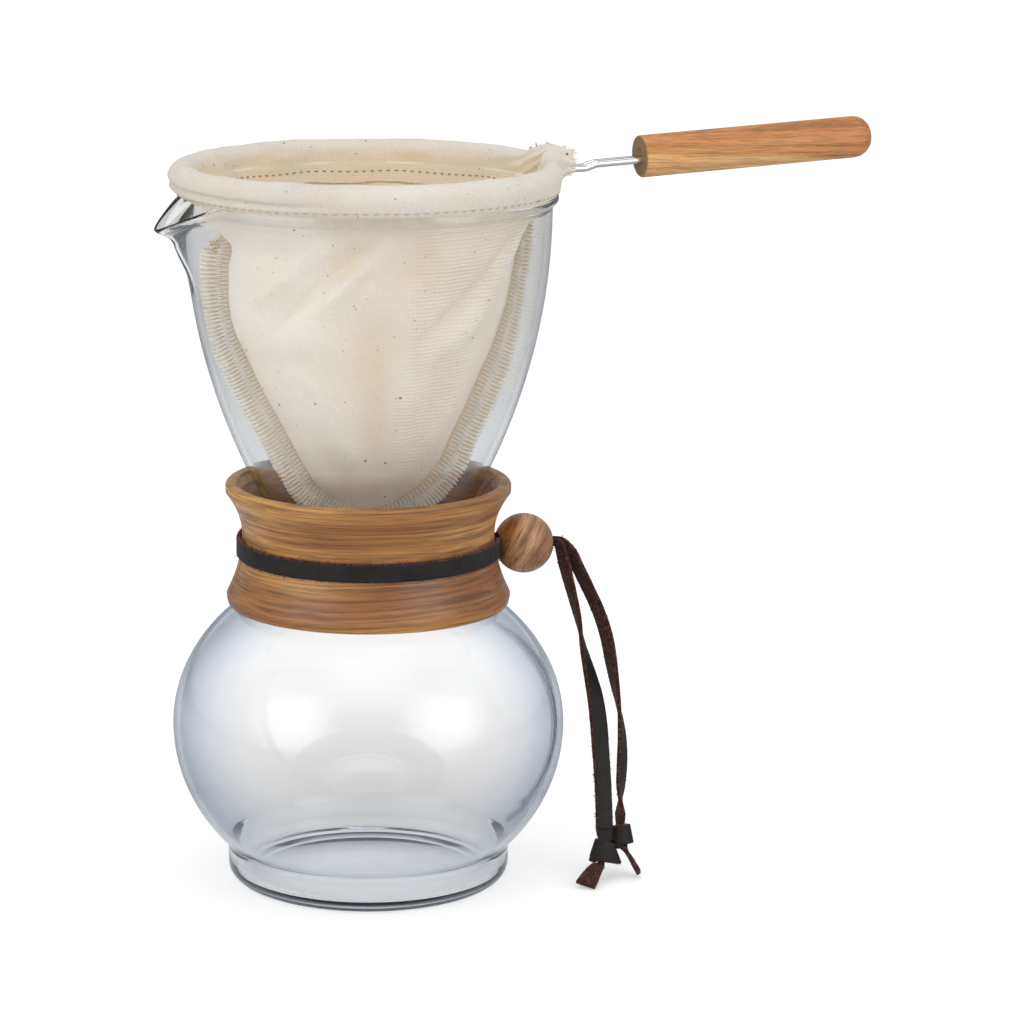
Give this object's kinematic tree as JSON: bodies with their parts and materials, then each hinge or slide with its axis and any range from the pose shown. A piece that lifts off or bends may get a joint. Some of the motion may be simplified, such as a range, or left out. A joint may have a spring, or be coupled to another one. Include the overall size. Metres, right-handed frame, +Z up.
{
  "type": "cloth filter coffee dripper",
  "caption": "Glass pour-over pot with a split wooden neck collar tied by a leather thong, and a cloth bag filter on a wire hoop with a wooden handle resting on its rim.",
  "frame": {"origin": "centre of the pot's flat underside, on the pot's axis", "axes": "+Z up along the pot's axis; +X towards the side where the bead and the filter's handle are (the handle lies 19 degrees from +X towards +Y); -Y towards the viewer of the picture"},
  "size_m": [0.1995, 0.1094, 0.2091],
  "materials": {
    "glass": "clear, polished",
    "wood_collar": "oiled olive-brown wood with fine grain",
    "wood_bead": "polished brown wood",
    "wood_handle": "satin, warm brown wood",
    "leather": "smooth charcoal outside, dark red-brown suede inside",
    "steel": "bright drawn wire",
    "cotton": "unbleached brushed cotton with small seed specks"
  },
  "bodies": {
    "pot": {"glass_pot": "glass", "collar_front": "wood_collar", "collar_back": "wood_collar", "thong_loop": "leather"},
    "bead": {"thong_bead": "wood_bead", "thong_strand_a": "leather", "thong_strand_b": "leather", "thong_knot_a": "leather", "thong_knot_b": "leather"},
    "filter": {"hoop_wire": "steel", "handle": "wood_handle", "cloth_hem": "cotton", "cloth_front": "cotton", "cloth_back": "cotton", "cloth_seam": "cotton"}
  },
  "joints": [
    {"name": "filter_lift", "type": "slide", "parent": "pot", "child": "filter", "axis": [0, 0, 1], "range_m": [0, 0.12]},
    {"name": "bead_slide", "type": "slide", "parent": "pot", "child": "bead", "axis": [0.9724, 0.2334, 0], "range_m": [0, 0.008]}
  ]
}
